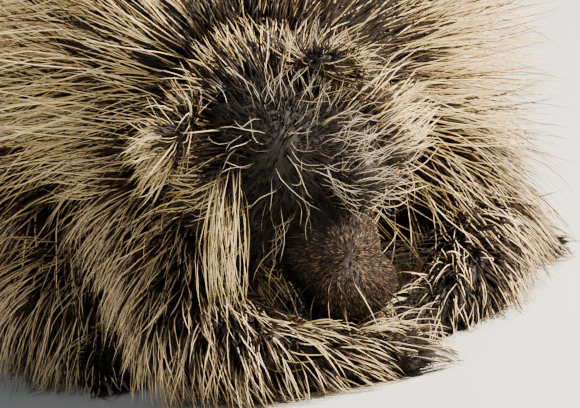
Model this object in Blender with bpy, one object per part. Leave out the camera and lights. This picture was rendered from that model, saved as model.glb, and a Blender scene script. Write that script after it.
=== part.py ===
"""A sleeping North American porcupine, life size, hunched on a level floor.

Metres, +Z up. The animal faces -Y, with its head turned to its right (-X) and bowed,
so that the forehead looks outwards and the nose points at the floor.
The forms are placed in millimetres, from a point on the floor under the belly.
"""
import math
import random

import bmesh
import bpy
from mathutils import Matrix, Vector
from mathutils.bvhtree import BVHTree

MM = 0.001

# The middle of the finished whole, locks and tail included, from the point under the belly.
MIDDLE = Vector((4, 85.5, 0))

# Space between touching parts, and the shortest edge that is kept, in metres.
GAP = 0.4 * MM
SLIVER = 0.03 * MM

# The head, from the back of the skull to the nose, is about 130 mm long.
HEAD_TURN = math.radians(-25)
HEAD_NOD = math.radians(65)
HEAD_LEAN = math.radians(16)
HEAD_CENTRE = Vector((-45, -148, 106))
SKULL_RADII = (44, 37, 41)
NOSE_FORWARD = 77
NOSE_RADII = (14, 16, 17)
NOSTRIL_SPACING = 15
EYE_PLACE = (33, 13, 29)
EYE_RADII = (6.5, 5.2, 6.5)
EAR_PLACE = (-14, 25, 38)
EAR_RADII = (5, 15, 14)

# Height of the solid core above the skin: half the coat's depth or less.
TORSO_CORE = 20
NECK_CORE = 10
HEAD_CORE = 4
FORELEG_CORE = 6
HINDLEG_CORE = 10
TAIL_CORE = 9
PAW_CORE = 1

HIND_FOOT_LENGTH = 104
TAIL_LENGTH = 205
TAIL_ROOT = 146
FORE_CLAWS = 4
HIND_CLAWS = 5
CLAW_LENGTH = 20
CLAW_RADIUS = 2.6

# A lock of hair is rooted this deep, and clears the other parts and the floor by this much.
LOCK_ROOT_DEPTH = 7
LOCK_CLEARANCE = 0.5
# Share of its first slope that is left at a lock's tip.
LOCK_SETTLE = 0.55
# Height of a lock's section as a share of its half width.
LOCK_FLATNESS = 0.28
# Sizes, slopes and turns in degrees that are tried, in this order, until a lock is clear.
LOCK_SIZES = (1.0, 0.8, 0.6)
LOCK_RISES = (38, 52, 66)
LOCK_TURNS = (0, 22, -22, 45, -45)
# How far a lock's length and its turn in degrees vary from one lock to the next.
LOCK_LENGTH_SPREAD = 0.12
LOCK_TURN_SPREAD = 12
# Random places tried for each lock that would fit at the wanted spacing.
ROOT_TRIES = 25
# Share of a lock's full section from its root to its last ring before the tip.
LOCK_TAPER = (1.0, 0.95, 0.75, 0.42)
CLAW_TAPER = (1.0, 0.85, 0.5)


def remove_everything():
    for obj in list(bpy.data.objects):
        bpy.data.objects.remove(obj)


def material(name, colour, roughness=0.8):
    made = bpy.data.materials.get(name) or bpy.data.materials.new(name)
    made.use_nodes = True
    shader = made.node_tree.nodes["Principled BSDF"]
    shader.inputs["Base Color"].default_value = (*colour, 1)
    shader.inputs["Roughness"].default_value = roughness
    return made


def head_axes():
    """The head's forward, up and left directions, as the columns of a matrix."""
    heading = Vector((math.sin(HEAD_TURN), -math.cos(HEAD_TURN), 0))
    side = Vector((-heading.y, heading.x, 0))
    down = math.sin(HEAD_LEAN) * side - math.cos(HEAD_LEAN) * Vector((0, 0, 1))
    forward = math.cos(HEAD_NOD) * heading + math.sin(HEAD_NOD) * down
    up = math.sin(HEAD_NOD) * heading - math.cos(HEAD_NOD) * down
    return Matrix((forward, up, up.cross(forward))).transposed()


def on_head(forward, up, left):
    """A point of the head, from its place along the head's own axes."""
    return HEAD_CENTRE + head_axes() @ Vector((forward, up, left))


def blob(shape, centre, radii, turn=None):
    """Adds an ellipsoid with its radii along X, Y and Z, or along turn's axes."""
    axes = (turn or Matrix.Identity(3)).to_4x4()
    size = Matrix.Diagonal((*(r * MM for r in radii), 1))
    place = Matrix.Translation(Vector(centre) * MM) @ axes @ size
    bmesh.ops.create_icosphere(shape, subdivisions=3, radius=1, matrix=place)


def limb(shape, points, depth):
    """Adds overlapping balls along a bent limb. Each point is x, y, z and radius."""
    for start, end in zip(points, points[1:]):
        a, b = Vector(start[:3]), Vector(end[:3])
        steps = max(2, math.ceil((b - a).length / (0.35 * min(start[3], end[3]))))
        for i in range(steps + 1):
            t = i / steps
            radius = start[3] * (1 - t) + end[3] * t + depth
            blob(shape, a.lerp(b, t), (radius, radius, radius))


def bent_cone(points, half_width, half_height, sideways, taper):
    """A closed three-sided lock or claw along points, widest along sideways.

    Each share in taper scales the section at one point, and the last point is the tip.
    """
    shape = bmesh.new()
    rings = []
    for i, share in enumerate(taper):
        along = (points[i + 1] - points[max(0, i - 1)]).normalized()
        across = (sideways - along * sideways.dot(along)).normalized()
        lift = across.cross(along) * half_height * share
        half = across * half_width * share
        corners = (half - lift / 2, -half - lift / 2, lift)
        rings.append([shape.verts.new((points[i] + c) * MM) for c in corners])
    tip = shape.verts.new(points[-1] * MM)
    shape.faces.new(rings[0])
    for low, high in zip(rings, rings[1:]):
        for k in range(3):
            shape.faces.new((low[k], low[k - 1], high[k - 1], high[k]))
    for k in range(3):
        shape.faces.new((rings[-1][k], rings[-1][k - 1], tip))
    bmesh.ops.triangulate(shape, faces=shape.faces)
    bmesh.ops.recalc_face_normals(shape, faces=shape.faces)
    return shape


def new_object(name, shape, finish=None):
    mesh = bpy.data.meshes.new(name)
    shape.to_mesh(mesh)
    shape.free()
    obj = bpy.data.objects.new(name, mesh)
    bpy.context.scene.collection.objects.link(obj)
    if finish:
        mesh.materials.append(finish)
    return obj


def hide(obj):
    obj.hide_render = True
    obj.display_type = "WIRE"
    return obj


def remove_all(objects):
    for obj in objects:
        bpy.data.objects.remove(obj)


def settle(obj):
    """Applies the object's modifiers to its mesh and keeps its material."""
    graph = bpy.context.evaluated_depsgraph_get()
    mesh = bpy.data.meshes.new_from_object(obj.evaluated_get(graph))
    finish = list(obj.data.materials)
    obj.modifiers.clear()
    obj.data = mesh
    mesh.materials.clear()
    for each in finish:
        mesh.materials.append(each)


def combine(obj, others, operation):
    """One Boolean of obj with all the others."""
    group = bpy.data.collections.new("operands")
    for other in others:
        group.objects.link(other)
    modifier = obj.modifiers.new("combine", "BOOLEAN")
    modifier.operation = operation
    modifier.solver = "MANIFOLD"
    modifier.operand_type = "COLLECTION"
    modifier.collection = group
    settle(obj)
    bpy.data.collections.remove(group)


def flesh(name, shape, voxel, triangles, finish, smoothing=6, hollow=None):
    """Fuses the blobs in shape into one smooth closed body of about that many triangles.

    The blobs in hollow are taken out of it first.
    """
    obj = new_object(name, shape, finish)
    if hollow:
        cutter = hide(new_object("cutter_hollow", hollow))
        combine(obj, [cutter], "DIFFERENCE")
        remove_all([cutter])
    remesh = obj.modifiers.new("fuse", "REMESH")
    remesh.mode = "VOXEL"
    remesh.voxel_size = voxel * MM
    smooth = obj.modifiers.new("smooth", "SMOOTH")
    smooth.factor = 0.5
    smooth.iterations = smoothing
    settle(obj)
    faces = sum(len(face.vertices) - 2 for face in obj.data.polygons)
    decimate = obj.modifiers.new("thin_out", "DECIMATE")
    decimate.ratio = min(1, triangles / faces)
    decimate.use_collapse_triangulate = True
    settle(obj)
    return obj


def grown(obj, distance):
    """A cutter: a copy of the object, larger by that distance all round."""
    copy = bpy.data.objects.new("cutter_" + obj.name, obj.data.copy())
    bpy.context.scene.collection.objects.link(copy)
    swell = copy.modifiers.new("swell", "DISPLACE")
    swell.strength = distance
    swell.mid_level = 0
    settle(copy)
    return hide(copy)


def floor_cutter():
    shape = bmesh.new()
    size = Matrix.Diagonal((2, 2, 0.4, 1))
    bmesh.ops.create_cube(shape, size=1, matrix=Matrix.Translation((0, 0, -0.2)) @ size)
    return hide(new_object("cutter_floor", shape))


def without_slivers(shape):
    """Collapses the shortest edges, as far as that leaves the surface closed."""
    for length in (SLIVER, SLIVER / 4, SLIVER / 16):
        trial = shape.copy()
        bmesh.ops.dissolve_degenerate(trial, dist=length, edges=trial.edges)
        bmesh.ops.triangulate(trial, faces=trial.faces)
        if all(len(edge.link_faces) == 2 for edge in trial.edges):
            shape.free()
            return trial
        trial.free()
    return shape


def keep_largest(obj):
    """Keeps only the closed surface that holds most, and makes every face a triangle."""
    shape = bmesh.new()
    shape.from_mesh(obj.data)
    bmesh.ops.triangulate(shape, faces=shape.faces)
    shape.faces.ensure_lookup_table()
    label = {}
    volumes = []
    for seed in shape.faces:
        if seed in label:
            continue
        number, volume, todo = len(volumes), 0.0, [seed]
        label[seed] = number
        while todo:
            face = todo.pop()
            a, b, c = (v.co for v in face.verts)
            volume += a.dot(b.cross(c)) / 6
            for edge in face.edges:
                for other in edge.link_faces:
                    if other not in label:
                        label[other] = number
                        todo.append(other)
        volumes.append(volume)
    largest = volumes.index(max(volumes))
    loose = [face for face in shape.faces if label[face] != largest]
    bmesh.ops.delete(shape, geom=loose, context="FACES")
    shape = without_slivers(shape)
    shape.to_mesh(obj.data)
    shape.free()


def surface_tree(mesh):
    shape = bmesh.new()
    shape.from_mesh(mesh)
    tree = BVHTree.FromBMesh(shape)
    shape.free()
    return tree


def make_torso():
    shape = bmesh.new()
    masses = {
        "belly": ((2, 12, 110), (92, 100, 98)),
        "rump": ((4, 78, 92), (90, 92, 86)),
        "shoulders": ((-2, -42, 112), (84, 72, 88)),
    }
    for centre, radii in masses.values():
        blob(shape, centre, [r + TORSO_CORE for r in radii])
    neck = 42 + NECK_CORE
    for centre in ((-18, -82, 128), (-30, -105, 128)):
        blob(shape, centre, (neck, neck, neck))
    return flesh("torso", shape, 6, 1200, material("guard_hair", (0.55, 0.44, 0.24)))


def make_head():
    """Skull, cheeks, brows, broad muzzle and lower jaw, with nostrils and a closed mouth."""
    shape = bmesh.new()
    axes = head_axes()

    def mass(place, radii, cover=1.0):
        blob(shape, on_head(*place), [r + HEAD_CORE * cover for r in radii], axes)

    mass((0, 0, 0), SKULL_RADII)
    for side in (-1, 1):
        mass((10, -10, 24 * side), (30, 24, 21))
        mass((26, 16, 21 * side), (15, 9, 12), 0.5)
        mass((75, -6, 8 * side), (13, 13, 11), 0.15)
    mass((46, -3, 0), (36, 23, 21), 0.4)
    mass((NOSE_FORWARD, 0, 0), NOSE_RADII, 0.1)
    mass((48, -23, 0), (30, 11, 15), 0.2)
    hollow = bmesh.new()
    for side in (-1, 1):
        nostril = (NOSE_FORWARD + 11, -3, NOSTRIL_SPACING / 2 * side)
        blob(hollow, on_head(*nostril), (6, 2.4, 3.6), axes)
        lip = [on_head(*place) for place in ((84, -18, 0), (78, -19, 11 * side), (56, -19, 20 * side))]
        limb(hollow, [(*place, 2.2) for place in lip], 0)
    finish = material("face_fur", (0.09, 0.06, 0.04))
    return flesh("head", shape, 1.8, 2200, finish, 3, hollow)


def make_ear(name, side):
    """A small round ear with its cup facing forwards and outwards."""
    axes = head_axes() @ Matrix.Rotation(math.radians(35 * side), 3, "Y")
    shape = bmesh.new()
    forward, up, left = EAR_PLACE
    blob(shape, on_head(forward, up, left * side), EAR_RADII, axes)
    cup = bmesh.new()
    blob(cup, on_head(forward + 5, up + 2, (left + 3) * side), (6, 11, 9), axes)
    finish = material("ear_skin", (0.07, 0.05, 0.04))
    return flesh(f"ear_{name}", shape, 1.4, 340, finish, 2, cup)


def make_eye(name, side):
    """The closed eye: the ball under its lids, flush with the brow and the cheek."""
    shape = bmesh.new()
    forward, up, left = EYE_PLACE
    blob(shape, on_head(forward, up, left * side), EYE_RADII, head_axes())
    finish = material("eyelid", (0.03, 0.022, 0.018), 0.5)
    return flesh(f"eye_{name}", shape, 1.2, 200, finish, 2)


def make_paw(name, points, claws, triangles):
    """A flat paw along points, with toes and curved claws at its end."""
    heel, toe = Vector(points[-2][:3]), Vector(points[-1][:3])
    along = Vector((toe.x - heel.x, toe.y - heel.y, 0)).normalized()
    across = Vector((-along.y, along.x, 0))
    up = Vector((0, 0, 1))
    spread = points[-1][3]
    shape = bmesh.new()
    limb(shape, points, PAW_CORE)
    toes = []
    for i in range(claws):
        share = 2 * i / (claws - 1) - 1
        reach = spread * (0.9 - 0.35 * share**2)
        toes.append(toe + along * reach + across * share * spread * 0.95 - up * 2)
        blob(shape, toes[-1], (5, 5, 5))
    paw = flesh(name, shape, 2, triangles, material("sole_skin", (0.05, 0.04, 0.035), 0.6), 3)
    cones = []
    for base in toes:
        path = [
            base - along * 3,
            base + along * CLAW_LENGTH * 0.35 + up * 1.5,
            base + along * CLAW_LENGTH * 0.7,
            base + along * CLAW_LENGTH - up * (base.z - 1.5),
        ]
        cone = bent_cone(path, CLAW_RADIUS * 0.8, CLAW_RADIUS, across, CLAW_TAPER)
        cones.append(new_object("claw", cone))
    combine(paw, cones, "UNION")
    remove_all(cones)
    return paw


def make_hind_limb(name, side):
    x = 92 * side
    thigh = bmesh.new()
    blob(thigh, (x, 34, 62), [r + HINDLEG_CORE for r in (30, 56, 54)])
    limb(thigh, [(x + 2 * side, 20, 50, 30), (x + 12 * side, -22, 40, 22)], HINDLEG_CORE)
    toe = -64
    sole = [
        (x + 6 * side, toe + HIND_FOOT_LENGTH, 15, 17),
        (x + 14 * side, toe + 40, 12, 18),
        (x + 18 * side, toe, 8, 15),
    ]
    fur = material("leg_fur", (0.12, 0.08, 0.05))
    return [
        (flesh(f"hindleg_{name}", thigh, 5, 380, fur), ["torso"]),
        (make_paw(f"hindfoot_{name}", sole, HIND_CLAWS, 420), ["torso", f"hindleg_{name}"]),
    ]


def make_fore_limb(name, arm_points, paw_points):
    arm = bmesh.new()
    limb(arm, arm_points, FORELEG_CORE)
    fur = material("leg_fur", (0.12, 0.08, 0.05))
    return [
        (flesh(f"foreleg_{name}", arm, 4, 380, fur), ["torso", "head"]),
        (make_paw(f"forepaw_{name}", paw_points, FORE_CLAWS, 380), ["head", f"foreleg_{name}"]),
    ]


def make_tail():
    shape = bmesh.new()
    end = TAIL_ROOT + TAIL_LENGTH
    spine = [
        (4, TAIL_ROOT, 50, 36),
        (12, TAIL_ROOT + 55, 35, 29),
        (8, TAIL_ROOT + 120, 25, 22),
        (-14, end - 12, 16, 12),
    ]
    limb(shape, spine, TAIL_CORE)
    return flesh("tail", shape, 5, 500, material("quills", (0.5, 0.42, 0.28)))


def torso_share(point, normal):
    """Long over the back, shorter near the face, and none underneath."""
    if normal.z < -0.45 or point.z < 25:
        return 0
    return min(1, 0.5 + (point - HEAD_CENTRE).length / 260)


def head_share(point, normal):
    """Locks on the nape and cheeks only: the crown, face and muzzle have short fur."""
    forward, up, left = head_axes().transposed() @ (point - HEAD_CENTRE)
    if forward > 22 or up > 27 or normal.z < -0.6:
        return 0
    return 1.0 if abs(left) > 22 or forward < -18 else 0


def leg_share(point, normal):
    return 0 if normal.z < -0.35 or point.z < 16 else 1


# For each part that carries locks: where the hair lies away from, how much it droops, the
# space between roots, a lock's length and width, and where it grows.
LOCKS = {
    "torso": (Vector((-50, -215, 95)), 0.25, 36, 88, 25, torso_share),
    "head": (Vector((-50, -225, 125)), 0.45, 17, 42, 13, head_share),
    "foreleg_left": (Vector((0, -60, 190)), 0.2, 25, 38, 14, leg_share),
    "foreleg_right": (Vector((0, -60, 190)), 0.2, 25, 38, 14, leg_share),
    "hindleg_left": (Vector((0, -60, 190)), 0.2, 31, 52, 19, leg_share),
    "hindleg_right": (Vector((0, -60, 190)), 0.2, 31, 52, 19, leg_share),
    "tail": (Vector((0, 40, 90)), 0.1, 29, 50, 18, leg_share),
}


def lock_path(root, normal, source, droop, length, rise, turn):
    """Five points of a lock that leaves the core at an angle and bends back along the lie."""
    away = (root - source).normalized() - Vector((0, 0, droop))
    lie = (away - normal * away.dot(normal)).normalized()
    lie = Matrix.Rotation(turn, 3, normal) @ lie
    start = math.cos(rise) * lie + math.sin(rise) * normal
    end = math.cos(rise * LOCK_SETTLE) * lie + math.sin(rise * LOCK_SETTLE) * normal
    points = [root - normal * LOCK_ROOT_DEPTH - lie * 2]
    for share in (0.2, 0.45, 0.72, 1.0):
        points.append(root + start.lerp(end, share) * length * share)
    return points, normal.cross(lie)


def clear_lock(root, normal, source, droop, length, width, obstacles, jitter):
    """The longest of a few trial locks that touches no obstacle and stays above the floor."""
    for size in LOCK_SIZES:
        half_width = width / 2 * (1 + size) / 2
        half_height = half_width * LOCK_FLATNESS
        for rise in LOCK_RISES:
            for turn in LOCK_TURNS:
                bend = math.radians(jitter + turn)
                path, sideways = lock_path(
                    root, normal, source, droop, length * size, math.radians(rise), bend
                )
                trial = bent_cone(
                    path,
                    half_width + LOCK_CLEARANCE,
                    half_height + LOCK_CLEARANCE,
                    sideways,
                    LOCK_TAPER,
                )
                lowest = min(v.co.z for v in trial.verts)
                tree = BVHTree.FromBMesh(trial)
                trial.free()
                touches = any(tree.overlap(other) for other in obstacles)
                if lowest > LOCK_CLEARANCE * MM and not touches:
                    return bent_cone(path, half_width, half_height, sideways, LOCK_TAPER)
    return None


def grow_locks(obj, obstacles, seed):
    """Roots bent locks evenly over obj, clear of every obstacle."""
    source, droop, spacing, length, width, share_at = LOCKS[obj.name]
    draw = random.Random(seed)
    vertices = obj.data.vertices
    faces = [
        (face.area, face.normal.copy(), [vertices[i].co.copy() for i in face.vertices])
        for face in obj.data.polygons
    ]
    areas = [area for area, _, _ in faces]
    tries = round(sum(areas) / (spacing * MM) ** 2 * ROOT_TRIES)
    roots, locks = [], []
    for _, normal, corners in draw.choices(faces, areas, k=tries):
        u, v = sorted((draw.random(), draw.random()))
        root = corners[0] * u + corners[1] * (v - u) + corners[2] * (1 - v)
        root = root / MM
        size = length * share_at(root, normal) * (1 + LOCK_LENGTH_SPREAD * draw.uniform(-1, 1))
        jitter = LOCK_TURN_SPREAD * draw.uniform(-1, 1)
        if size == 0 or any((root - other).length < spacing for other in roots):
            continue
        shape = clear_lock(root, normal, source, droop, size, width, obstacles, jitter)
        if shape:
            roots.append(root)
            locks.append(new_object("lock", shape))
    return locks


def add_all_locks(bodies):
    """Grows the locks of each part in turn, then joins them to it."""
    trees = {obj.name: [surface_tree(obj.data)] for obj in bodies}
    grown_locks = {}
    for seed, name in enumerate(LOCKS):
        obj = bpy.data.objects[name]
        obstacles = [tree for other, group in trees.items() if other != name for tree in group]
        locks = grow_locks(obj, obstacles, seed + 1)
        trees[name] += [surface_tree(lock.data) for lock in locks]
        grown_locks[name] = locks
    for name, locks in grown_locks.items():
        obj = bpy.data.objects[name]
        combine(obj, locks, "UNION")
        remove_all(locks)
        keep_largest(obj)


def main():
    remove_everything()
    bodies = {"torso": (make_torso(), [])}
    bodies["head"] = (make_head(), ["torso", "eye_left", "eye_right"])
    for name, side in (("left", 1), ("right", -1)):
        bodies[f"eye_{name}"] = (make_eye(name, side), [])
        bodies[f"ear_{name}"] = (make_ear(name, side), ["head", "torso"])
    limbs = make_hind_limb("left", 1) + make_hind_limb("right", -1)
    limbs += make_fore_limb(
        "right",
        [(-62, -66, 84, 32), (-98, -134, 34, 20), (-86, -174, 19, 14), (-66, -189, 15, 11)],
        [(-63, -192, 12, 12), (-36, -204, 9, 13)],
    )
    limbs += make_fore_limb(
        "left",
        [(52, -66, 84, 32), (70, -104, 35, 20), (42, -138, 18, 14), (28, -147, 15, 12)],
        [(24, -149, 12, 12), (-3, -161, 9, 13)],
    )
    for obj, grows_from in limbs:
        bodies[obj.name] = (obj, grows_from)
    bodies["tail"] = (make_tail(), ["torso"])
    floor = floor_cutter()
    wanted = sorted({name for _, names in bodies.values() for name in names})
    cutters = {name: grown(bodies[name][0], GAP) for name in wanted}
    for obj, names in bodies.values():
        combine(obj, [floor] + [cutters[name] for name in names], "DIFFERENCE")
        keep_largest(obj)
    remove_all([floor, *cutters.values()])
    add_all_locks([obj for obj, _ in bodies.values()])
    for obj, _ in bodies.values():
        obj.data.transform(Matrix.Translation(-MIDDLE * MM))
        obj.data.shade_smooth()


main()
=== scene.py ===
"""Looks of a sleeping North American porcupine, hunched on a level floor with its head bowed.

Places are in millimetres from a point on the floor under the belly until a mesh is made,
and its vertices are then moved to the frame, in metres. The animal faces -Y, and +X is its left.
"""

import math

import bpy
import numpy as np
from mathutils import Matrix, Vector, kdtree
from mathutils.bvhtree import BVHTree


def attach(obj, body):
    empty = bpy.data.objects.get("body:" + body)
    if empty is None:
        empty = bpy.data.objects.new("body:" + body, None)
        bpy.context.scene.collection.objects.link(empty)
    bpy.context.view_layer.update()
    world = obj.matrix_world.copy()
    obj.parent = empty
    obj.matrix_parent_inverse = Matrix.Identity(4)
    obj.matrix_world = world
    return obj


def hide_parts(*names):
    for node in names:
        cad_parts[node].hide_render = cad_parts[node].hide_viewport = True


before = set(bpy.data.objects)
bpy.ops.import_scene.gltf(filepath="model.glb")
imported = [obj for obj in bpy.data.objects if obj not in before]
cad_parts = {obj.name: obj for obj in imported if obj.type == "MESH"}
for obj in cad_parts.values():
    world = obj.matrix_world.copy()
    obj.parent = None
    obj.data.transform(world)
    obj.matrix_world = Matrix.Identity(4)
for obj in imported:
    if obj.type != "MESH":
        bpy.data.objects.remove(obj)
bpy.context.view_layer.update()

MM = 0.001
UP = Vector((0, 0, 1))

# The frame's origin, on the floor under the middle of the animal.
MIDDLE = Vector((4, 85.5, 0))

# The head: how it is turned, bowed and leant, and where its features are along its own
# forward, up and left directions.
HEAD_TURN = math.radians(-25)
HEAD_NOD = math.radians(65)
HEAD_LEAN = math.radians(16)
HEAD_CENTRE = Vector((-45, -148, 106))
NOSE_FORWARD = 77
NOSTRIL_SPACING = 15
EYE_PLACE = (33, 13, 29)
EYE_RADIUS = 6.5
EAR_PLACE = (-14, 25, 38)
MUZZLE_WHORL = (67, 16, 7)
CROWN_WHORL = (12, 38, 2)

# The hind legs and the tail: how long the foot and the tail are, how far out the legs stand, and
# where the toes end and the tail starts.
HIND_FOOT_LENGTH = 104
HIND_LEG_SIDE = 92
HIND_TOES = -64
TAIL_LENGTH = 205
TAIL_ROOT = 146

# The toes: their radius, how far the middle ones reach and the outer ones spread as shares of
# the width of the foot, how much less the outer ones reach, and how low all of them are.
TOE_RADIUS = 5
TOE_REACH = 0.9
TOE_SPREAD = 0.95
OUTER_TOE_LAG = 0.35
TOE_DROP = 2

# The claws: how many each fore and hind foot has, their size, and how high their tips are.
FORE_CLAWS = 4
HIND_CLAWS = 5
CLAW_LENGTH = 20
CLAW_RADIUS = 2.6
CLAW_TIP_HEIGHT = 1.5

# Balls along each fore limb down to the wrist, and along its hand: x, y, z and radius.
ARMS = {
    "right": [(-62, -66, 84, 32), (-98, -134, 34, 20), (-86, -174, 19, 14), (-66, -189, 15, 11)],
    "left": [(52, -66, 84, 32), (70, -104, 35, 20), (42, -138, 18, 14), (28, -147, 15, 12)],
}
HANDS = {
    "right": [(-63, -192, 12, 12), (-36, -204, 9, 12)],
    "left": [(24, -149, 12, 12), (-3, -161, 9, 12)],
}

# The skin is fused from round forms on a grid this fine, and stays this far off the floor.
SKIN_VOXEL = 2.0
SKIN_FLOOR = 0.4

# Balls along a limb are this share of their radius apart.
BALL_SPACING = 0.35

# Each hair is a patch this wide on the skin's unwrap.
PATCH = 0.003

# Hairs are kept this far off the skin and the floor, between foot and tip.
HAIR_CLEARANCE = 0.8

# Hairs of one kind vary in length between these shares, and by about this angle in how steeply
# they rise, within these limits.
SHORTEST, LONGEST = 0.72, 1.1
RISE_SPREAD = 0.12
LEAST_RISE, MOST_RISE = 0.08, 1.4

# Along a hair: where its sideways bend changes side, its wave as a share of the curl and an
# angle, and how the draw of a wisp grows towards the tip.
BOW_START = 0.25
WAVE_SHARE = 0.3
WAVE_TURN = 6
WISP_POWER = 1.3

# A direction that hardly any hair lies along, from which the sides of the tubes are found.
ASKEW = (0.31, 0.2, 0.93)


def head_axes():
    """The head's forward, up and left directions, as the columns of a matrix."""
    heading = Vector((math.sin(HEAD_TURN), -math.cos(HEAD_TURN), 0))
    side = Vector((-heading.y, heading.x, 0))
    down = math.sin(HEAD_LEAN) * side - math.cos(HEAD_LEAN) * UP
    forward = math.cos(HEAD_NOD) * heading + math.sin(HEAD_NOD) * down
    up = math.sin(HEAD_NOD) * heading - math.cos(HEAD_NOD) * down
    return Matrix((forward, up, up.cross(forward))).transposed()


HEAD_AXES = head_axes()


def on_head(forward, up, left):
    """The place of a point that is given along the head's own directions."""
    return HEAD_CENTRE + HEAD_AXES @ Vector((forward, up, left))


def along_head(places):
    """Each place's forward, up and left along the head's own directions."""
    return ((places - np.array(HEAD_CENTRE)) @ np.array(HEAD_AXES)).T


# Forms of the body.


def ball(centre, radii, turn=None):
    """A ball, or an egg with three radii along its own directions: centre, radii and turn."""
    if not isinstance(radii, (tuple, list)):
        radii = (radii, radii, radii)
    return Vector(centre), Vector(radii), turn or Matrix.Identity(3)


def limb(points):
    """Overlapping balls along a bent limb. Each point is x, y, z and radius."""
    balls = []
    for start, end in zip(points, points[1:]):
        a, b = Vector(start[:3]), Vector(end[:3])
        steps = max(2, math.ceil((b - a).length / (BALL_SPACING * min(start[3], end[3]))))
        for i in range(steps + 1):
            t = i / steps
            balls.append(ball(a.lerp(b, t), start[3] * (1 - t) + end[3] * t))
    return balls


def paw_forms(points, claws):
    """Balls of a flat paw and its toes, and the place and direction of each claw."""
    heel, toe = Vector(points[-2][:3]), Vector(points[-1][:3])
    along = Vector((toe.x - heel.x, toe.y - heel.y, 0)).normalized()
    across = Vector((-along.y, along.x, 0))
    spread = points[-1][3]
    toes = []
    for i in range(claws):
        share = 2 * i / (claws - 1) - 1
        reach = spread * (TOE_REACH - OUTER_TOE_LAG * share**2)
        toes.append(toe + along * reach + across * share * spread * TOE_SPREAD - UP * TOE_DROP)
    pads = [ball(place, TOE_RADIUS) for place in toes]
    return limb(points) + pads, [(place, along) for place in toes]


def torso_forms():
    """The back, the rump, the shoulders and the two balls of the neck."""
    return [
        ball((2, 12, 110), (92, 100, 98)),
        ball((4, 78, 92), (90, 92, 86)),
        ball((-2, -42, 112), (84, 72, 88)),
        ball((-18, -82, 128), 42),
        ball((-30, -105, 128), 42),
    ]


def head_forms():
    """The skull, muzzle, nose and jaw, and on each side a cheek, brow, nostril, socket and ear."""
    head = [
        ((0, 0, 0), (44, 37, 41)),
        ((46, -3, 0), (36, 23, 21)),
        ((NOSE_FORWARD, 0, 0), (14, 16, 17)),
        ((48, -23, 0), (30, 11, 15)),
    ]
    for side in (-1, 1):
        head.append(((10, -10, 24 * side), (30, 24, 21)))
        head.append(((26, 16, 21 * side), (15, 9, 12)))
        head.append(((75, -6, 8 * side), (13, 13, 11)))
        head.append(((33, 12, 25 * side), (9, 7, 8)))
    forms = [ball(on_head(*place), radii, HEAD_AXES) for place, radii in head]
    forward, up, left = EAR_PLACE
    for side in (-1, 1):
        forms.append(ball(on_head(forward, up, left * side), (4, 14, 13), ear_axes(side)))
    return forms


def hind_leg_forms(side):
    """The haunch and the knee of one hind leg."""
    x = HIND_LEG_SIDE * side
    haunch = ball((x, 34, 62), (30, 56, 54))
    return [haunch] + limb([(x + 2 * side, 20, 50, 30), (x + 12 * side, -22, 40, 22)])


def sole_line(side):
    """Balls along one hind foot, from its heel to its toes."""
    x = HIND_LEG_SIDE * side
    return [
        (x + 6 * side, HIND_TOES + HIND_FOOT_LENGTH, 15, 16),
        (x + 14 * side, HIND_TOES + 40, 12, 17),
        (x + 18 * side, HIND_TOES, 8, 14),
    ]


def tail_forms():
    """Balls along the tail, from its root to its tip."""
    return limb(
        [
            (4, TAIL_ROOT, 50, 36),
            (12, TAIL_ROOT + 55, 35, 29),
            (8, TAIL_ROOT + 120, 25, 22),
            (-14, TAIL_ROOT + TAIL_LENGTH - 12, 16, 12),
        ]
    )


def body_forms():
    """The balls of skin of each part, and every claw's place."""
    claws = []
    forms = {"torso": torso_forms(), "head": head_forms()}
    for name, side in (("right", -1), ("left", 1)):
        forms[f"hindleg_{name}"] = hind_leg_forms(side)
        forms[f"hindfoot_{name}"], found = paw_forms(sole_line(side), HIND_CLAWS)
        claws += found
    for name in ("right", "left"):
        forms[f"foreleg_{name}"] = limb(ARMS[name])
        forms[f"forepaw_{name}"], found = paw_forms(HANDS[name], FORE_CLAWS)
        claws += found
    forms["tail"] = tail_forms()
    return forms, claws


def ear_axes(side):
    """The directions of one ear, which is turned outwards on the head."""
    return HEAD_AXES @ Matrix.Rotation(math.radians(35 * side), 3, "Y")


def hollow_forms():
    """What is taken out of the skin: the ears' cups, the nostrils and the line of the mouth."""
    forms = []
    for side in (-1, 1):
        forward, up, left = EAR_PLACE
        forms.append(
            ball(on_head(forward + 5, up + 2, (left + 3) * side), (6, 11, 9), ear_axes(side))
        )
        nostril = on_head(NOSE_FORWARD + 11, -3, NOSTRIL_SPACING / 2 * side)
        forms.append(ball(nostril, (6, 2.2, 3.6), HEAD_AXES))
        lip = [(84, -18, 0), (78, -19, 11 * side), (56, -19, 20 * side)]
        forms += limb([(*on_head(*place), 1.8) for place in lip])
    return forms


def mesh_of_balls(name, balls):
    """One object with a sphere for each ball, added in edit mode."""
    bpy.ops.object.select_all(action="DESELECT")
    for i, (centre, radii, turn) in enumerate(balls):
        bpy.ops.mesh.primitive_ico_sphere_add(
            subdivisions=3,
            radius=1,
            location=(centre - MIDDLE) * MM,
            rotation=turn.to_euler(),
            scale=radii * MM,
        )
        if i == 0:
            obj = bpy.context.object
            obj.name = name
            bpy.ops.object.transform_apply(location=True, rotation=True, scale=True)
            bpy.ops.object.mode_set(mode="EDIT")
    bpy.ops.object.mode_set(mode="OBJECT")
    return obj


def apply_modifier(obj, kind, **settings):
    """Adds a modifier with these settings and applies it."""
    modifier = obj.modifiers.new(kind.lower(), kind)
    for key, value in settings.items():
        setattr(modifier, key, value)
    bpy.ops.object.select_all(action="DESELECT")
    bpy.context.view_layer.objects.active = obj
    obj.select_set(True)
    bpy.ops.object.modifier_apply(modifier=modifier.name)


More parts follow.
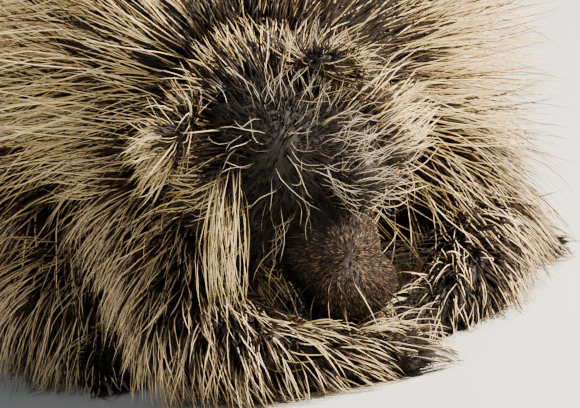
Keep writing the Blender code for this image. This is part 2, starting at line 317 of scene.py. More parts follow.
def make_skin(forms):
    """One closed skin over every part, unwrapped for the bake."""
    skin = mesh_of_balls("skin", [b for balls in forms.values() for b in balls])
    hollow = mesh_of_balls("hollow", hollow_forms())
    apply_modifier(skin, "BOOLEAN", operation="DIFFERENCE", object=hollow, solver="MANIFOLD")
    bpy.data.objects.remove(hollow)
    apply_modifier(skin, "REMESH", mode="VOXEL", voxel_size=SKIN_VOXEL * MM)
    apply_modifier(skin, "SMOOTH", factor=0.5, iterations=4)
    vertices = skin.data.vertices
    places = np.empty(len(vertices) * 3, np.float32)
    vertices.foreach_get("co", places)
    places = places.reshape(-1, 3)
    places[:, 2] = np.maximum(places[:, 2], SKIN_FLOOR * MM)
    vertices.foreach_set("co", places.ravel())
    bpy.ops.object.mode_set(mode="EDIT")
    bpy.ops.mesh.select_all(action="SELECT")
    bpy.ops.uv.smart_project(angle_limit=math.radians(66), island_margin=0.002)
    bpy.ops.object.mode_set(mode="OBJECT")
    skin.data.uv_layers.active.name = "OFBake"
    bpy.ops.object.shade_smooth()
    return skin


# Lie of the coat.


def unit(vectors):
    """Each vector at a length of 1."""
    return vectors / np.maximum(np.linalg.norm(vectors, axis=-1, keepdims=True), 1e-9)


def part_shares(points, forms, blend=9.0):
    """How much each point belongs to each part, from its distance to the part's balls."""
    depths = []
    for balls in forms.values():
        nearest = np.full(len(points), 1e9)
        for centre, radii, turn in balls:
            local = (points - np.array(centre)) @ np.array(turn)
            scaled = np.linalg.norm(local / np.array(radii), axis=1)
            nearest = np.minimum(nearest, (scaled - 1) * min(radii))
        depths.append(nearest)
    depths = np.array(depths).T
    shares = np.exp(-(depths - depths.min(axis=1, keepdims=True)) / blend)
    return shares / shares.sum(axis=1, keepdims=True)


def fade(values, start, width):
    """0 up to start, rising to 1 over the width."""
    return np.clip((values - start) / width, 0, 1)


def band(values, middle, half_width):
    """1 in the middle, falling to 0 at half_width from it."""
    return np.clip(1 - np.abs(values - middle) / half_width, 0, 1)


def around(places, centre, radius):
    """1 at the centre, and fading to nothing at about twice the radius."""
    return np.exp(-np.sum((places - np.array(centre)) ** 2, axis=1) / radius**2)


DOWN = np.array((0.0, 0.0, -1.0))

# The hair of each part lies away from a place, and droops by a share of that.
LIES = {
    "torso": (on_head(12, 64, 0), 0.12),
    "tail": ((0, 40, 90), 0.1),
    "hindleg": ((0, -60, 190), 0.3),
    "hindfoot": ((0, 120, 60), 0.1),
    "foreleg_right": ((-70, -100, 110), 0.1),
    "foreleg_left": ((40, -70, 110), 0.1),
    "forepaw_right": ((-150, -160, 40), 0.1),
    "forepaw_left": ((120, -120, 40), 0.1),
}


def head_lie(points):
    """Fur on the head lies away from the whorls on the muzzle and the crown."""
    flow = 0
    for whorl in (MUZZLE_WHORL, CROWN_WHORL):
        offset = points - np.array(on_head(*whorl))
        distance = np.linalg.norm(offset, axis=1, keepdims=True)
        flow = flow + offset / distance / (distance + 3) ** 2
    return unit(flow)


def part_lie(points, name):
    """The lie of one part's coat at each point."""
    if name == "head":
        return head_lie(points)
    source, droop = LIES.get(name) or LIES[name.split("_")[0]]
    return unit(points - np.array(source)) + droop * DOWN


def laid_on(normals, flow):
    """The direction in the skin that is nearest to flow."""
    return unit(flow - normals * np.sum(flow * normals, axis=1, keepdims=True))


class Skin:
    """The skin's triangles, from which roots of hairs are drawn."""

    def __init__(self, obj, forms):
        mesh = obj.data
        mesh.calc_loop_triangles()
        count = len(mesh.loop_triangles)
        self.corners = np.empty(count * 3, np.int32)
        mesh.loop_triangles.foreach_get("vertices", self.corners)
        self.corners = self.corners.reshape(-1, 3)
        loops = np.empty(count * 3, np.int32)
        mesh.loop_triangles.foreach_get("loops", loops)
        places = np.empty(len(mesh.vertices) * 3)
        mesh.vertices.foreach_get("co", places)
        self.places = places.reshape(-1, 3) / MM + np.array(MIDDLE)
        normals = np.empty(len(mesh.vertices) * 3)
        mesh.vertices.foreach_get("normal", normals)
        self.normals = normals.reshape(-1, 3)
        uvs = np.empty(len(mesh.loops) * 2)
        mesh.uv_layers["OFBake"].uv.foreach_get("vector", uvs)
        self.uvs = uvs.reshape(-1, 2)[loops].reshape(-1, 3, 2)
        a, b, c = (self.places[self.corners[:, i]] for i in range(3))
        self.middles = (a + b + c) / 3
        self.near = near_camera(self.middles)
        self.short = short_fur(self.middles)
        self.areas = np.linalg.norm(np.cross(b - a, c - a), axis=1) / 2
        self.names = list(forms)
        self.shares = part_shares(self.middles, forms)
        self.tree = BVHTree.FromPolygons(self.places.tolist(), self.corners.tolist())

    def part(self, *kinds):
        """How much each triangle belongs to the parts whose names start with these words."""
        columns = [i for i, name in enumerate(self.names) if name.split("_")[0] in kinds]
        return self.shares[:, columns].sum(axis=1)

    def draw_roots(self, count, density, draw):
        """Random roots. density is a weight for each triangle, and area counts as well."""
        weights = self.areas * density
        chosen = draw.choice(len(weights), size=count, p=weights / weights.sum())
        u, v = np.sort(draw.random((2, count)), axis=0)
        shares = np.stack((u, v - u, 1 - v), axis=1)[:, :, None]
        corners = self.corners[chosen]
        places = (self.places[corners] * shares).sum(axis=1)
        normals = unit((self.normals[corners] * shares).sum(axis=1))
        uvs = (self.uvs[chosen] * shares).sum(axis=1)
        return Roots(self, chosen, places, normals, uvs)


# The shoulders end here along the body, the flanks end here, and the rump is behind them.
SHOULDERS_END = -60
FLANKS_END = 40


class Roots:
    """Places on the skin where hairs are rooted, and the lie of the coat there."""

    def __init__(self, skin, triangles, places, normals, uvs):
        self.places = places
        self.normals = normals
        self.uvs = uvs
        self.near = skin.near[triangles]
        self.shares = skin.shares[triangles]
        self.names = skin.names
        flow = 0
        for i, name in enumerate(skin.names):
            flow = flow + part_lie(places, name) * self.shares[:, i : i + 1]
        self.lie = laid_on(normals, flow)

    def by_part(self, values):
        """A value for each root, blended from a value for each kind of part."""
        return self.shares @ np.array([values[name.split("_")[0]] for name in self.names], float)

    def regions(self):
        """The name of the region of the coat that each root is in."""
        kinds = np.array([name.split("_")[0] for name in self.names])
        parts = kinds[self.shares.argmax(axis=1)]
        x, y, _ = self.places.T
        side = np.where(x > 0, "left", "right")
        zone = np.where(y < SHOULDERS_END, "shoulder", np.where(y < FLANKS_END, "flank", "rump"))
        named = np.char.add(np.char.add(zone, "_"), side)
        named = np.where(np.isin(parts, ("tail", "head")), parts, named)
        legs = np.isin(parts, ("hindleg", "foreleg", "hindfoot", "forepaw"))
        return np.where(legs, np.char.add("legs_", side), named)


# Only wool grows on the throat, on the right jaw and beside the left ear: the centre and
# radius of each patch. The dark wool left bare on the throat and the right jaw is painted shade.
PAINTED_SHADE_AND_NAPE_PATCHES = (((-6, -94, 44), 58), (on_head(30, 0, -36), 17), ((-15, -172, 139), 12))

# The middle and the radius of the dark hair of the nape, behind the left ear.
NAPE = (-6, -156, 143)
NAPE_RADIUS = 19

# Far from the head the coat has this share of its hairs, which are thicker for it.
FAR_SHARE = 0.27


def near_camera(places):
    """1 on the head and shoulders, which the picture is of, and less towards the tail."""
    distance = np.linalg.norm(places - np.array(HEAD_CENTRE), axis=1)
    return np.clip(1.25 - distance / 260, FAR_SHARE, 1.0)


def short_fur(places):
    """1 on the muzzle and down the middle of the crown, and 0 where the hair is long.

    It lies in front of a slanting line over the crown, in a strip that widens on the muzzle.
    """
    forward, up, left = along_head(places)
    front = fade(up + 0.9 * forward, 12, 12)
    half_width = 32 + 15 * fade(forward, 28, 18)
    return front * fade(half_width - np.abs(left - 8), 0, 12)


def muzzle(places):
    """1 on the pad of velvet over the nose and 0 from the brow back and down the sides. The pad
    sits left of the middle, so it ends sooner on the right side, and the dark fur there is painted
    shade.
    """
    forward, _, left = along_head(places)
    return fade(forward, 44, 14) * fade(25 - np.abs(left - 5), 0, 8)


def near_ears(places):
    """1 at each ear, and fading round it."""
    forward, up, left = EAR_PLACE
    return sum(around(places, on_head(forward, up, left * side), 13) for side in (-1, 1))


def off_floor(places, height):
    """0 at the floor and 1 from that height up."""
    return fade(places[:, 2], 0, height)


def off_painted_shade_and_nape_patches(places):
    """0 in the middle of a patch without pale hairs, and 1 well outside them all. The throat and
    right jaw patches are painted shade.
    """
    share = 1
    for centre, radius in PAINTED_SHADE_AND_NAPE_PATCHES:
        share = share * (1 - around(places, centre, radius))
    return share**2


# Hairs.


def turned(vectors, axes, angles):
    """Each vector turned about its own axis."""
    cos, sin = np.cos(angles)[:, None], np.sin(angles)[:, None]
    return vectors * cos + np.cross(axes, vectors) * sin


def hair_paths(roots, length, rise, settle, sag, stray, curl, rings, draw):
    """Points along each hair, from its root to its tip, as an array of hairs by points.

    rise is the angle between a hair's foot and the skin, and settle the share of it left at
    the tip. sag bends it down. Its foot strays from the coat's lie by an angle of about
    stray, and it bends sideways by an angle of about curl and waves a little.
    """
    count = len(length)
    lie = turned(roots.lie, roots.normals, draw.normal(0, stray, count))
    side = np.cross(roots.normals, lie)
    rise = np.clip(rise + draw.normal(0, RISE_SPREAD, count), LEAST_RISE, MOST_RISE)[:, None]
    bow = draw.normal(0, curl, (count, 1))
    sway = draw.uniform(0, 2 * math.pi, (count, 1))
    paths = np.empty((count, rings + 1, 3))
    paths[:, 0] = roots.places - roots.normals
    step = length[:, None] / rings
    for i in range(rings):
        t = (i + 0.5) / rings
        slope = rise * (1 - t + settle * t)
        across = bow * (t - BOW_START) + WAVE_SHARE * curl * np.sin(sway + WAVE_TURN * t)
        heading = np.cos(slope) * lie + np.sin(slope) * roots.normals + side * across
        paths[:, i + 1] = paths[:, i] + unit(heading + sag * t * DOWN) * step
    return paths


def gather(paths, every, strength):
    """Draws the tips of neighbouring hairs together into wisps."""
    leaders = paths[::every]
    tree = kdtree.KDTree(len(leaders))
    for i, point in enumerate(leaders[:, 0]):
        tree.insert(point, i)
    tree.balance()
    nearest = np.array([tree.find(point)[1] for point in paths[:, 0]])
    offset = leaders[nearest] - paths
    share = np.linspace(0, 1, paths.shape[1])[None, :, None] ** WISP_POWER
    return paths + offset * share * strength


def keep_clear(paths, tree):
    """Lifts the hairs' points out of the skin and off the floor."""
    for i in range(1, paths.shape[1]):
        for point in paths[:, i]:
            place, normal, _, _ = tree.find_nearest(point)
            height = (Vector(point) - place).dot(normal)
            if height < HAIR_CLEARANCE:
                point += np.array(normal) * (HAIR_CLEARANCE - height)
    np.maximum(paths[:, 1:, 2], HAIR_CLEARANCE, out=paths[:, 1:, 2])
    return paths


def hair_mesh(name, paths, radius, slim, uvs, tone):
    """A closed three-sided tube for each path, in one mesh, slimmer towards its end by slim."""
    count, points, _ = paths.shape
    rings = points - 1
    taper = 1 - slim * (np.arange(rings) / rings) ** 2
    heading = unit(paths[:, 1:] - paths[:, :-1])
    side = unit(np.cross(heading, np.array(ASKEW)))
    lift = np.cross(side, heading)
    width = (radius[:, None] * taper)[:, :, None]
    corners = []
    for k in range(3):
        angle = 2 * math.pi * k / 3
        offset = side * math.cos(angle) + lift * math.sin(angle)
        corners.append(paths[:, :-1] + offset * width)
    tube = np.stack(corners, axis=2).reshape(count, rings * 3, 3)
    places = np.concatenate((tube, paths[:, -1:]), axis=1)
    faces = [(0, 2, 1)]
    for ring in range(rings - 1):
        for k in range(3):
            a, b = ring * 3 + k, ring * 3 + (k + 1) % 3
            faces += [(a, b, b + 3), (a, b + 3, a + 3)]
    last = (rings - 1) * 3
    faces += [(last + k, last + (k + 1) % 3, rings * 3) for k in range(3)]
    each = rings * 3 + 1
    corners = (np.array(faces)[None] + np.arange(count)[:, None, None] * each).ravel()
    along = np.append(np.repeat(np.arange(rings) / rings, 3), 1.0)
    across = np.append(np.tile((0.0, 0.5, 1.0), rings), 0.5)
    patch = uvs[:, None] + np.stack((across - 0.5, along - 0.5), axis=1)[None] * PATCH
    mesh = bpy.data.meshes.new(name)
    mesh.vertices.add(count * each)
    mesh.vertices.foreach_set("co", ((places.reshape(-1, 3) - np.array(MIDDLE)) * MM).ravel())
    mesh.loops.add(len(corners))
    mesh.loops.foreach_set("vertex_index", corners)
    mesh.polygons.add(len(corners) // 3)
    mesh.polygons.foreach_set("loop_start", np.arange(0, len(corners), 3))
    mesh.update(calc_edges=True)
    mesh.polygons.foreach_set("use_smooth", np.ones(len(corners) // 3, bool))
    layer = mesh.uv_layers.new(name="OFBake")
    layer.uv.foreach_set("vector", patch.reshape(-1, 2)[corners].ravel())
    mesh.attributes.new("along", "FLOAT", "POINT").data.foreach_set(
        "value", np.tile(along, count)
    )
    mesh.attributes.new("tone", "FLOAT", "POINT").data.foreach_set("value", np.repeat(tone, each))
    obj = bpy.data.objects.new(name, mesh)
    bpy.context.scene.collection.objects.link(obj)
    return obj


# Materials.


class Socket:
    """An output socket that can be added, subtracted and multiplied, each as a Math node."""

    def __init__(self, shader, output):
        self.shader = shader
        self.output = output

    def _math(self, operation, first, second):
        return self.shader.node("ShaderNodeMath", {"operation": operation}, {0: first, 1: second})

    def __add__(self, other):
        return self._math("ADD", self, other)

    __radd__ = __add__

    def __sub__(self, other):
        return self._math("SUBTRACT", self, other)

    def __mul__(self, other):
        return self._math("MULTIPLY", self, other)

    __rmul__ = __mul__


class Finish:
    """A Principled material under construction."""

    def __init__(self, name, roughness, **constants):
        self.material = bpy.data.materials.new(name)
        self.material.use_nodes = True
        self.tree = self.material.node_tree
        self.shader = self.tree.nodes["Principled BSDF"]
        self.shader.inputs["Roughness"].default_value = roughness
        for key, value in constants.items():
            self.shader.inputs[key.replace("_", " ")].default_value = value

    def node(self, kind, settings=None, inputs=None, output=0):
        """One more node, fed from numbers, colours or sockets."""
        made = self.tree.nodes.new(kind)
        for key, value in (settings or {}).items():
            setattr(made, key, value)
        for key, value in (inputs or {}).items():
            self.feed(made.inputs[key], value)
        return Socket(self, made.outputs[output])

    def feed(self, socket, value):
        """Links an output to an input, or sets the input to a number or a colour."""
        if isinstance(value, Socket):
            self.tree.links.new(value.output, socket)
        else:
            socket.default_value = value

    def attribute(self, name):
        return self.node("ShaderNodeAttribute", {"attribute_name": name}, output="Fac")

    def noise(self, scale):
        place = self.node("ShaderNodeTexCoord", output="Object")
        inputs = {"Vector": place, "Scale": scale, "Detail": 3.0}
        return self.node("ShaderNodeTexNoise", None, inputs, "Fac")

    def ramp(self, value, low, high):
        """0 up to low and 1 from high, with a smooth step between them."""
        inputs = {"Value": value, "From Min": low, "From Max": high}
        settings = {"interpolation_type": "SMOOTHSTEP"}
        return self.node("ShaderNodeMapRange", settings, inputs)

    def mix(self, share, first, second):
        inputs = {"Factor": share, 6: first, 7: second}
        return self.node("ShaderNodeMix", {"data_type": "RGBA"}, inputs, 2)

    def bump(self, height, distance, strength=0.6):
        """Roughens the surface by the height, up to a distance in metres."""
        inputs = {"Height": height, "Distance": distance, "Strength": strength}
        self.feed(self.shader.inputs["Normal"], self.node("ShaderNodeBump", None, inputs))

    def colour(self, value):
        self.feed(self.shader.inputs["Base Color"], value)


def rgb(red, green, blue):
    return (red, green, blue, 1.0)


def hair_finish(name, root, gold, cream, dark_until, pale_from, dark_hairs=0.0, roughness=0.5):
    """Hair of one colour at the root and another outwards, from gold to cream among the hairs.

    It changes between the shares dark_until and pale_from of its length. A share of the
    hairs, dark_hairs, keeps the colour of the root up to the tip.
    """
    finish = Finish(name, roughness, Specular_IOR_Level=0.2)
    along = finish.attribute("along")
    tone = finish.attribute("tone")
    # Each hair pales at a place of its own, and hairs and patches of coat differ in brightness.
    pale = finish.mix(tone, rgb(*gold), rgb(*cream))
    paling = finish.ramp(along + 0.22 * (tone - 0.5), dark_until, pale_from)
    if dark_hairs:
        paling = paling * finish.ramp(tone, dark_hairs - 0.1, dark_hairs + 0.1)
    colour = finish.mix(paling, rgb(*root), pale)
    patchy = 0.8 + 0.4 * finish.noise(28.0)
    inputs = {"Color": colour, "Value": patchy * (0.75 + 0.5 * tone)}
    finish.colour(finish.node("ShaderNodeHueSaturation", None, inputs))
    return finish.material


def skin_finish():
    """Dark, finely pebbled skin, browner on the muzzle."""
    finish = Finish("skin_dark", 0.75)
    stain = finish.noise(60.0)
    dark = finish.mix(stain, rgb(0.005, 0.004, 0.003), rgb(0.016, 0.01, 0.007))
    brown = finish.mix(stain, rgb(0.01, 0.006, 0.004), rgb(0.026, 0.015, 0.009))
    finish.colour(finish.mix(finish.attribute("muzzle"), dark, brown))
    finish.bump(finish.noise(900.0), 0.0004)
    return finish.material


def claw_finish():
    """Dark horn, a little paler towards the tip."""
    finish = Finish("claw_horn", 0.32, Coat_Weight=0.3)
    along = finish.attribute("along")
    grain = finish.noise(500.0)
    paling = finish.ramp(along, 0.1, 0.95)
    colour = finish.mix(paling, rgb(0.03, 0.02, 0.014), rgb(0.1, 0.075, 0.05))
    finish.colour(finish.mix(0.35 * grain, colour, rgb(0.012, 0.009, 0.007)))
    finish.bump(grain, 0.0002, 0.4)
    return finish.material


# The coat.


def grow(
    skin,
    name,
    seed,
    count,
    density,
    length,
    radius,
    material,
    rise=0.6,
    settle=0.5,
    sag=0.1,
    stray=0.25,
    curl=0.2,
    rings=6,
    slim=0.6,
    wisps=(9, 0.3),
    lie=None,
    shade=None,
):
    """Grows one kind of hair, as one piece for each region of the body.

    density is a weight for each of the skin's triangles. length and rise are numbers or
    functions of the roots. radius is from the thinnest to the thickest hair. wisps are hairs in
    a wisp and how closely their tips are drawn together. lie takes the place of the coat's own
    lie. shade is a function of the roots, and more hairs are dark where it is over 1. The rest
    is as in hair_paths and hair_mesh.
    """
    draw = np.random.default_rng(seed)
    roots = skin.draw_roots(count, density, draw)
    if lie is not None:
        roots.lie = laid_on(roots.normals, lie)
    size = length(roots) if callable(length) else length
    size = size * draw.uniform(SHORTEST, LONGEST, count)
    slope = rise(roots) if callable(rise) else rise
    paths = hair_paths(roots, size, slope, settle, sag, stray, curl, rings, draw)
    paths = keep_clear(gather(paths, *wisps), skin.tree)
    thickness = draw.uniform(*radius, count) / np.sqrt(roots.near)
    tone = draw.random(count) ** (shade(roots) if shade else 1)
    regions = roots.regions()
    for region in sorted(set(regions)):
        own = regions == region
        piece = hair_mesh(
            f"{name}_{region}", paths[own], thickness[own], slim, roots.uvs[own], tone[own]
        )
        piece.data.materials.append(material)
        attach(piece, "root")


# The length of guard hair and of wool on each kind of part.
GUARD_LENGTHS = {
    "torso": 106,
    "head": 52,
    "tail": 54,
    "hindleg": 62,
    "foreleg": 40,
    "hindfoot": 24,
    "forepaw": 24,
}
WOOL_LENGTHS = {
    "torso": 36,
    "head": 18,
    "tail": 24,
    "hindleg": 25,
    "foreleg": 19,
    "hindfoot": 9,
    "forepaw": 8,
}


def guard_length(roots):
    """Guard hairs are longest on the back, and shorter towards the face and along its top."""
    length = roots.by_part(GUARD_LENGTHS)
    from_crown = np.linalg.norm(roots.places - np.array(on_head(*CROWN_WHORL)), axis=1)
    on_top = fade(roots.places[:, 2], 160, 40)
    return length * np.clip(0.3 + from_crown / 130, 0.4, 1.0) * (1 - 0.09 * on_top)


def guard_rise(roots):
    """Guard hairs stand up on the left shoulder, towards the light."""
    x, y, _ = roots.places.T
    return 0.5 + 0.6 * fade(x, -35, 105) * fade(110 - y, 0, 170)


def guard_shade(roots):
    """More of the guard hairs are dark on the nape, and towards the rump and the tail."""
    rump = fade(roots.places[:, 1], 10, 90)
    return 1 + 4.5 * rump + 40 * around(roots.places, NAPE, NAPE_RADIUS)


def short_rise(roots):
    """Short fur lies close to the skin, but stands up at the whorls it grows away from."""
    rise = 0.62
    for whorl in (MUZZLE_WHORL, CROWN_WHORL):
        rise = rise + 0.75 * around(roots.places, on_head(*whorl), 5)
    return rise


def short_length(roots):
    """Short fur is a little longer away from the muzzle."""
    return 8 + 3.5 * (1 - muzzle(roots.places))


def velvet_shade(roots):
    """The velvet is palest over the nose."""
    return 4 - 3.2 * around(roots.places, on_head(78, 4, 6), 20)


def grow_coat(skin):
    """All the hair, and the quills."""
    head = skin.part("head")
    feet = skin.part("hindfoot", "forepaw")
    legs = skin.part("hindleg", "foreleg")
    long_hair = (1 - head * skin.short) ** 2 * (1 - feet)
    # Pale guard hair is left out of the painted shade on the throat and the right jaw.
    guard = long_hair * skin.near * off_floor(skin.middles, 24) * off_painted_shade_and_nape_patches(skin.middles)
    straw = hair_finish(
        "guard_hair",
        root=(0.016, 0.009, 0.006),
        gold=(0.7, 0.45, 0.15),
        cream=(0.9, 0.74, 0.4),
        dark_until=0.12,
        pale_from=0.4,
        dark_hairs=0.2,
    )
    grow(
        skin,
        "guard",
        seed=11,
        count=11500,
        density=guard * (1 - legs),
        length=guard_length,
        radius=(0.25, 0.38),
        material=straw,
        rise=guard_rise,
        settle=0.45,
        stray=0.34,
        curl=0.36,
        wisps=(7, 0.45),
        shade=guard_shade,
    )
    grow_leg_hair(skin, legs + 0.5 * feet)
    grow_wool(skin, long_hair)
    grow_short_fur(skin, head, feet)
    grow_face_hairs(skin, head, straw)
    grow_quills(skin)


def grow_leg_hair(skin, legs):
    """Browner, shorter and finer guard hair on the legs and the feet."""
    brown = hair_finish(
        "leg_hair",
        root=(0.04, 0.021, 0.012),
        gold=(0.5, 0.3, 0.13),
        cream=(0.84, 0.7, 0.42),
        dark_until=0.15,
        pale_from=0.5,
        dark_hairs=0.3,
    )
    # Leg hair is also left out of the painted shade on the throat and the right jaw.
    grow(
        skin,
        "leg",
        seed=12,
        count=5600,
        density=legs * skin.near * off_floor(skin.middles, 14) * off_painted_shade_and_nape_patches(skin.middles),
        length=guard_length,
        radius=(0.19, 0.31),
        material=brown,
        rise=0.6,
        settle=0.3,
        sag=0.35,
        curl=0.4,
        rings=5,
    )


def grow_wool(skin, long_hair):
    """Dark wool under the guard hair."""
    wool = hair_finish(
        "wool",
        root=(0.005, 0.003, 0.002),
        gold=(0.012, 0.007, 0.005),
        cream=(0.036, 0.021, 0.013),
        dark_until=0.2,
        pale_from=0.7,
    )
    grow(
        skin,
        "wool",
        seed=13,
        count=26000,
        density=long_hair * np.maximum(skin.near, 0.4) * off_floor(skin.middles, 15),
        length=lambda roots: roots.by_part(WOOL_LENGTHS),
        radius=(0.6, 0.95),
        material=wool,
        rise=0.75,
        settle=0.6,
        curl=0.5,
        rings=3,
        slim=0.9,
        wisps=(6, 0.4),
    )


def grow_short_fur(skin, head, feet):
    """Velvet on the muzzle, and short dark fur on the crown, the brow and the feet."""
    # The velvet stops short on the right side of the muzzle, where short dark fur grows as painted
    # shade.
    on_muzzle = muzzle(skin.middles) * head
    velvet = hair_finish(
        "muzzle_velvet",
        root=(0.007, 0.004, 0.003),
        gold=(0.022, 0.012, 0.007),
        cream=(0.34, 0.21, 0.115),
        dark_until=0.2,
        pale_from=0.8,
        roughness=0.7,
    )
    grow(
        skin,
        "velvet",
        seed=14,
        count=9000,
        density=on_muzzle * skin.short,
        length=4.4,
        radius=(0.16, 0.23),
        material=velvet,
        rise=short_rise,
        settle=0.6,
        sag=0,
        curl=0.3,
        rings=2,
        slim=1.2,
        wisps=(4, 0.25),
        shade=velvet_shade,
    )
    dark = hair_finish(
        "short_fur",
        root=(0.003, 0.002, 0.0015),
        gold=(0.006, 0.004, 0.003),
        cream=(0.022, 0.014, 0.009),
        dark_until=0.3,
        pale_from=0.9,
        roughness=0.8,
    )
    short = head * np.maximum(skin.short * (1 - on_muzzle), near_ears(skin.middles))
    grow(
        skin,
        "short",
        seed=15,
        count=13000,
        density=short + 0.8 * feet * off_floor(skin.middles, 9),
        length=short_length,
        radius=(0.26, 0.4),
        material=dark,
        rise=short_rise,
        sag=0,
        curl=0.4,
        rings=2,
        slim=1.2,
        wisps=(5, 0.3),
    )


def grow_face_hairs(skin, head, straw):
    """Thin curling pale hairs on the crown and brow, ear tufts, a cheek lock and whiskers."""
    forward, up, left = along_head(skin.middles)
    silver = hair_finish(
        "crown_hair",
        root=(0.02, 0.013, 0.009),
        gold=(0.34, 0.26, 0.15),
        cream=(0.66, 0.58, 0.42),
        dark_until=0.08,
        pale_from=0.4,
        dark_hairs=0.25,
    )
    crown = head * skin.short * fade(52 - forward, 0, 16)
    grow(
        skin,
        "crown",
        seed=16,
        count=300,
        density=crown * np.clip(0.3 + left / 24, 0.25, 1),
        length=22,
        radius=(0.1, 0.17),
        material=silver,
        rise=0.8,
        settle=0.4,
        sag=0.05,
        stray=0.8,
        curl=1.2,
        wisps=(3, 0.2),
    )
    grow(
        skin,
        "brow",
        seed=17,
        count=64,
        density=around(skin.middles, on_head(18, 14, 26), 24) * head,
        length=34,
        radius=(0.11, 0.18),
        material=silver,
        rise=0.7,
        sag=0.0,
        stray=0.5,
        curl=0.8,
        wisps=(5, 0.35),
    )
    grow(
        skin,
        "ear",
        seed=21,
        count=620,
        density=near_ears(skin.middles) * head,
        length=24,
        radius=(0.13, 0.2),
        material=straw,
        settle=0.4,
        stray=0.5,
        curl=0.6,
        wisps=(6, 0.3),
    )
    grow(
        skin,
        "cheek",
        seed=18,
        count=58,
        density=around(skin.middles, on_head(4, 28, -20), 4) * head,
        length=82,
        radius=(0.13, 0.21),
        material=straw,
        rise=0.55,
        settle=0.1,
        sag=0.35,
        stray=0.2,
        curl=0.5,
        wisps=(24, 0.65),
        lie=DOWN + 0.2 * np.array(HEAD_AXES.col[2]),
    )
    grow_whiskers(skin, head * band(forward, 66, 12) * band(up, -4, 9))


def grow_whiskers(skin, lip):
    """Dark whiskers on the upper lip."""
    whisker = hair_finish(
        "whisker",
        root=(0.01, 0.007, 0.005),
        gold=(0.02, 0.013, 0.01),
        cream=(0.05, 0.035, 0.025),
        dark_until=0.2,
        pale_from=0.9,
    )
    grow(
        skin,
        "whisker",
        seed=19,
        count=34,
        density=lip,
        length=44,
        radius=(0.13, 0.17),
        material=whisker,
        rise=0.9,
        settle=0.6,
        stray=0.2,
        slim=0.9,
    )


def grow_quills(skin):
    """Quills among the hair of the rump and tail, pale with dark tips."""
    _, y, z = skin.middles.T
    back = fade(y, 20, 60) * fade(z, 60, 30) * skin.part("torso")
    tail = skin.part("tail") * off_floor(skin.middles, 30)
    quill = hair_finish(
        "quills",
        root=(0.72, 0.64, 0.46),
        gold=(0.03, 0.02, 0.014),
        cream=(0.07, 0.05, 0.035),
        dark_until=0.66,
        pale_from=0.8,
    )
    grow(
        skin,
        "quill",
        seed=20,
        count=1300,
        density=back + 1.6 * tail,
        length=62,
        radius=(0.32, 0.44),
        material=quill,
        rise=0.68,
        settle=0.7,
        sag=0.02,
        stray=0.2,
        curl=0.06,
        rings=4,
        slim=0.9,
        wisps=(2, 0.0),
    )


# Lids and claws.


def make_claws(places):
    """Curved claws with a rounded section, one mesh for all the feet."""
    paths = []
    for base, along in places:
        reach = along * CLAW_LENGTH
        drop = UP * (base.z - CLAW_TIP_HEIGHT)
        # From inside the toe, over the arch of the claw, to its tip near the floor.
        paths.append(
            [
                base - along * 3,
                base + reach * 0.3 + UP * 1.6,
                base + reach * 0.6 + UP * 0.6,
                base + reach * 0.85 - drop * 0.5,
                base + reach - drop,
            ]
        )
    count = len(paths)
    uvs = np.random.default_rng(15).random((count, 2))
    radius, tone = np.full(count, CLAW_RADIUS), np.full(count, 0.5)
    claws = hair_mesh("claws", np.array(paths, float), radius, 1.0, uvs, tone)
    claws.data.materials.append(claw_finish())
    apply_modifier(claws, "SUBSURF", levels=1, render_levels=1)
    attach(claws, "root")


# The line where the lids meet, on a ball of radius 1: how low it is, how much it bends down
# at the corners, how wide and deep its crease is, and how far the upper lid stands over it.
# The ball is then this much wider and lower.
LID_LINE = -0.22
LID_BEND = 0.3
CREASE_WIDTH = 0.09
CREASE_DEPTH = 0.1
LID_SWELL = 0.04
LID_WIDTH = 1.1
LID_HEIGHT = 0.85


def make_lid(name, side):
    """A closed eye: a ball whose two lids meet in a line that bends down."""
    forward, up, left = EYE_PLACE
    centre = on_head(forward, up, left * side)
    bpy.ops.object.select_all(action="DESELECT")
    bpy.ops.mesh.primitive_uv_sphere_add(segments=40, ring_count=28, radius=1, location=(0, 0, 0))
    lid = bpy.context.object
    lid.name = name
    outward = (HEAD_AXES @ Vector((0.25, 0.35, side))).normalized()
    fore = HEAD_AXES.col[0]
    across = (fore - outward * fore.dot(outward)).normalized()
    rise = outward.cross(across) * side
    for vertex in lid.data.vertices:
        x, y, z = vertex.co
        above = z - LID_LINE - LID_BEND * x * x
        crease = CREASE_DEPTH * math.exp(-((above / CREASE_WIDTH) ** 2))
        swell = LID_SWELL * math.exp(-(((above - 2 * CREASE_WIDTH) / (1.5 * CREASE_WIDTH)) ** 2))
        place = across * x * LID_WIDTH + outward * y + rise * z * LID_HEIGHT
        vertex.co = (centre + place * (1 - crease + swell) * EYE_RADIUS - MIDDLE) * MM
    bpy.ops.object.mode_set(mode="EDIT")
    bpy.ops.mesh.select_all(action="SELECT")
    bpy.ops.mesh.normals_make_consistent(inside=False)
    bpy.ops.object.mode_set(mode="OBJECT")
    bpy.ops.object.shade_smooth()
    finish = Finish("lid_" + name, 0.45)
    finish.colour(finish.mix(finish.noise(400.0), rgb(0.01, 0.007, 0.006), rgb(0.04, 0.026, 0.02)))
    finish.bump(finish.noise(1400.0), 0.0002)
    lid.data.materials.append(finish.material)
    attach(lid, "root")
    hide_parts(name.replace("lids", "eye"))


# Camera, light and floor.

# The camera is far off, so its view is nearly parallel. Its distance and the width it frames at
# the nose are in metres. The picture's size and the nose's place in it are in pixels.
VIEW_AZIMUTH = math.radians(-25)
VIEW_ELEVATION = math.radians(10)
VIEW_ROLL = math.radians(11.6)
VIEW_DISTANCE = 2.0
FRAME_WIDTH = 0.262
PICTURE = (580, 408)
NOSE_PIXEL = (352, 290)


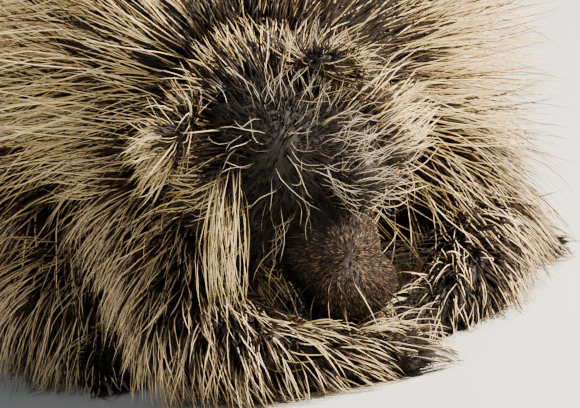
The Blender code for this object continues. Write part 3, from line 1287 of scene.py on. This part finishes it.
def view_axes():
    """Right, up and back of the camera."""
    a, e = VIEW_AZIMUTH, VIEW_ELEVATION
    back = Vector((math.sin(a) * math.cos(e), -math.cos(a) * math.cos(e), math.sin(e)))
    right = Vector((math.cos(a), math.sin(a), 0))
    up = back.cross(right)
    roll = VIEW_ROLL
    return (
        right * math.cos(roll) - up * math.sin(roll),
        right * math.sin(roll) + up * math.cos(roll),
        back,
    )


def add_camera():
    """Looks at the nose from far off, with the nose at its place in the picture."""
    right, up, back = view_axes()
    nose = (on_head(NOSE_FORWARD, 0, 0) - MIDDLE) * MM
    size = FRAME_WIDTH / PICTURE[0]
    aim = nose - right * (NOSE_PIXEL[0] - PICTURE[0] / 2) * size
    aim += up * (NOSE_PIXEL[1] - PICTURE[1] / 2) * size
    camera = bpy.data.objects.new("camera", bpy.data.cameras.new("camera"))
    camera.data.angle = 2 * math.atan(FRAME_WIDTH / 2 / VIEW_DISTANCE)
    pose = Matrix((right, up, back)).transposed().to_4x4()
    pose.translation = aim + back * VIEW_DISTANCE
    camera.matrix_world = pose
    bpy.context.scene.collection.objects.link(camera)
    bpy.context.scene.camera = camera


def add_light(name, place, size, power, colour):
    """A square lamp that stands at a place in metres and points at the animal."""
    lamp = bpy.data.lights.new(name, "AREA")
    lamp.size = size
    lamp.energy = power
    lamp.color = colour
    obj = bpy.data.objects.new(name, lamp)
    turn = place.to_track_quat("Z", "Y").to_matrix().to_4x4()
    obj.matrix_world = Matrix.Translation(place) @ turn
    bpy.context.scene.collection.objects.link(obj)


def add_studio():
    """A small warm key light from above on the right, a weak cool fill, a rim and a pale floor."""
    right, up, back = view_axes()
    add_light("key", right * 1.15 + up * 1.9 + back * 0.7, 0.25, 300, (1.0, 0.91, 0.76))
    add_light("fill", -right * 1.6 + up * 1.0 + back * 1.4, 1.8, 10, (0.86, 0.92, 1.0))
    add_light("rim", right * 0.6 + up * 1.2 - back * 1.5, 1.0, 30, (1.0, 0.95, 0.86))
    world = bpy.data.worlds.new("studio")
    world.use_nodes = True
    sky = world.node_tree.nodes["Background"]
    sky.inputs["Color"].default_value = rgb(0.72, 0.78, 0.86)
    sky.inputs["Strength"].default_value = 0.22
    bpy.context.scene.world = world
    bpy.ops.mesh.primitive_plane_add(size=8, location=(0, 0, 0))
    floor = bpy.context.object
    floor.name = "floor"
    finish = Finish("floor_paper", 0.9)
    finish.colour(finish.mix(finish.noise(3.0), rgb(0.56, 0.56, 0.55), rgb(0.6, 0.6, 0.6)))
    floor.data.materials.append(finish.material)


def mark_muzzle(obj, skin):
    """Gives the skin the muzzle's brown where the velvet grows."""
    share = muzzle(skin.places)
    obj.data.attributes.new("muzzle", "FLOAT", "POINT").data.foreach_set("value", share)


def main():
    """Dresses the solids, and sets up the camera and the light."""
    forms, claw_places = body_forms()
    body = make_skin(forms)
    body.data.materials.clear()
    body.data.materials.append(skin_finish())
    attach(body, "root")
    flesh = [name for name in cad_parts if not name.startswith("eye")]
    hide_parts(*flesh)
    skin = Skin(body, forms)
    mark_muzzle(body, skin)
    grow_coat(skin)
    make_claws(claw_places)
    make_lid("lids_left", 1)
    make_lid("lids_right", -1)
    add_camera()
    add_studio()


main()
